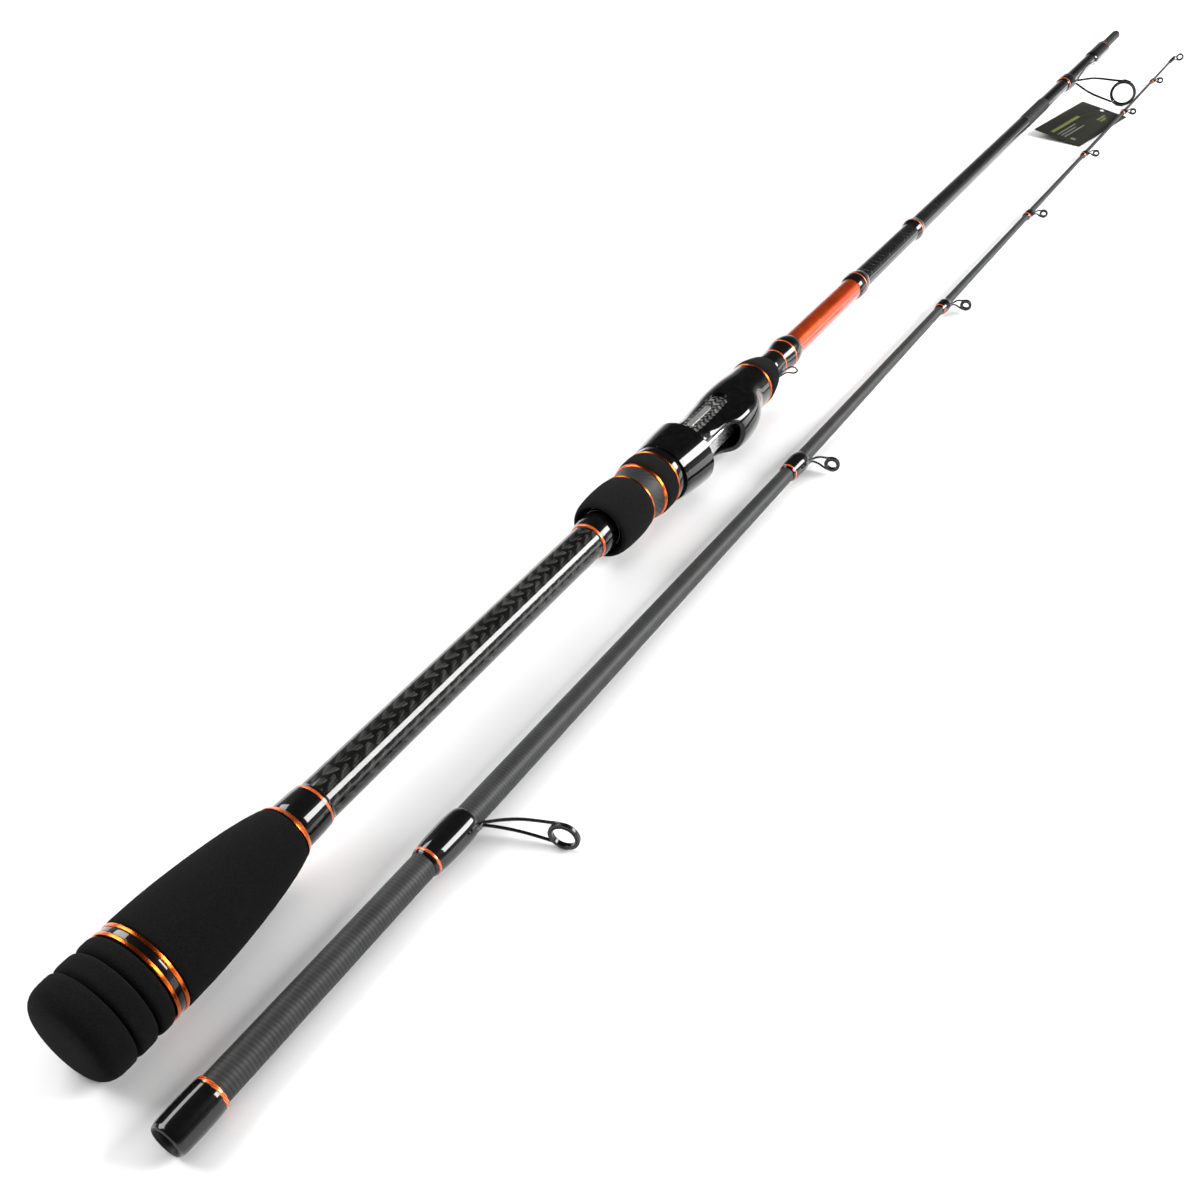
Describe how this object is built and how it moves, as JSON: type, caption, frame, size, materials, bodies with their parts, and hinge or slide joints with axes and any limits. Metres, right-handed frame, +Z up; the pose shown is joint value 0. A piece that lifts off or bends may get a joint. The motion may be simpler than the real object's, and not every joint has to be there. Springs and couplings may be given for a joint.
{
  "type": "spinning rod",
  "caption": "Two-piece spinning rod taken down: butt section with foam grips, locking reel seat, stripping guide and spigot, and tip section with ferrule and wire guides.",
  "frame": {"origin": "middle of the footprint, on the surface that the rod lies on", "axes": "+X along the butt section from the butt cap to the spigot, +Z up; guides and reel foot point to -Y"},
  "size_m": [1.265, 0.0988, 0.0361],
  "materials": {
    "eva_foam": "fine matt closed-cell foam",
    "orange_metal": "anodised metallic orange",
    "black_lacquer": "high-gloss black lacquer",
    "carbon_weave": "carbon weave under clear coat",
    "carbon_twill": "fine grey twill, satin",
    "matt_carbon": "matt dark carbon",
    "guide_wire": "black-plated wire",
    "ring_ceramic": "polished black ceramic",
    "tag_card": "dark olive card",
    "clear_nylon": "clear nylon"
  },
  "bodies": {
    "butt_section": {"butt_cap": "eva_foam", "butt_disc_rear": "eva_foam", "butt_disc_front": "eva_foam", "butt_trim_ring_rear": "orange_metal", "butt_trim_band": "black_lacquer", "butt_trim_ring_front": "orange_metal", "rear_grip": "eva_foam", "rear_grip_ring": "orange_metal", "rear_winding": "black_lacquer", "handle_ring_rear": "orange_metal", "handle_tube": "carbon_weave", "handle_ring_front": "orange_metal", "handle_front_winding": "black_lacquer", "thread_barrel": "black_lacquer", "reel_seat_body": "black_lacquer", "seat_window_upper": "carbon_weave", "seat_window_lower": "carbon_weave", "front_grip_ring": "orange_metal", "front_grip": "eva_foam", "front_winding": "black_lacquer", "hook_keeper": "guide_wire", "butt_blank": "carbon_weave", "orange_end_winding": "black_lacquer", "blank_joint_winding": "black_lacquer", "spigot": "matt_carbon", "stripping_guide_frame": "guide_wire", "stripping_guide_insert": "ring_ceramic", "stripping_wrap_rear": "black_lacquer", "stripping_wrap_front": "black_lacquer", "hang_tag": "tag_card", "tag_loop": "clear_nylon"},
    "hood": {"sliding_hood": "black_lacquer"},
    "lock_nut": {"nut_grip_rear": "eva_foam", "nut_ring_rear": "orange_metal", "nut_sleeve": "carbon_twill", "nut_ring_middle": "orange_metal", "nut_grip_front": "eva_foam", "nut_ring_front": "orange_metal", "nut_core": "black_lacquer"},
    "tip_section": {"tip_blank": "matt_carbon", "ferrule_winding": "black_lacquer", "guide_a_frame": "guide_wire", "guide_a_insert": "ring_ceramic", "guide_a_wrap": "black_lacquer", "guide_b_frame": "guide_wire", "guide_b_insert": "ring_ceramic", "guide_b_wrap": "black_lacquer", "guide_c_frame": "guide_wire", "guide_c_insert": "ring_ceramic", "guide_c_wrap": "black_lacquer", "guide_d_frame": "guide_wire", "guide_d_wrap": "black_lacquer", "guide_e_frame": "guide_wire", "guide_e_wrap": "black_lacquer", "guide_f_frame": "guide_wire", "guide_f_wrap": "black_lacquer", "guide_g_frame": "guide_wire", "guide_g_wrap": "black_lacquer", "tip_top_frame": "guide_wire", "tip_top_insert": "ring_ceramic"}
  },
  "joints": [
    {"name": "hood_slide", "type": "slide", "parent": "butt_section", "child": "hood", "axis": [1, 0, 0], "range_m": [-0.0201, 0.0041]},
    {"name": "nut_spin", "type": "hinge", "parent": "hood", "child": "lock_nut", "pos_m": [-0.30499, 0.03151, 0.01821], "axis": [1, 0, 0], "range_deg": [-2880, 576]},
    {"name": "tip_slide", "type": "slide", "parent": "butt_section", "child": "tip_section", "axis": [0.9999, -0.0126, -0.0024], "range_m": [-0.06, 0]}
  ],
  "couplings": [
    {"joint": "hood_slide", "follows": "nut_spin", "m_per_rad": 0.00039789}
  ]
}
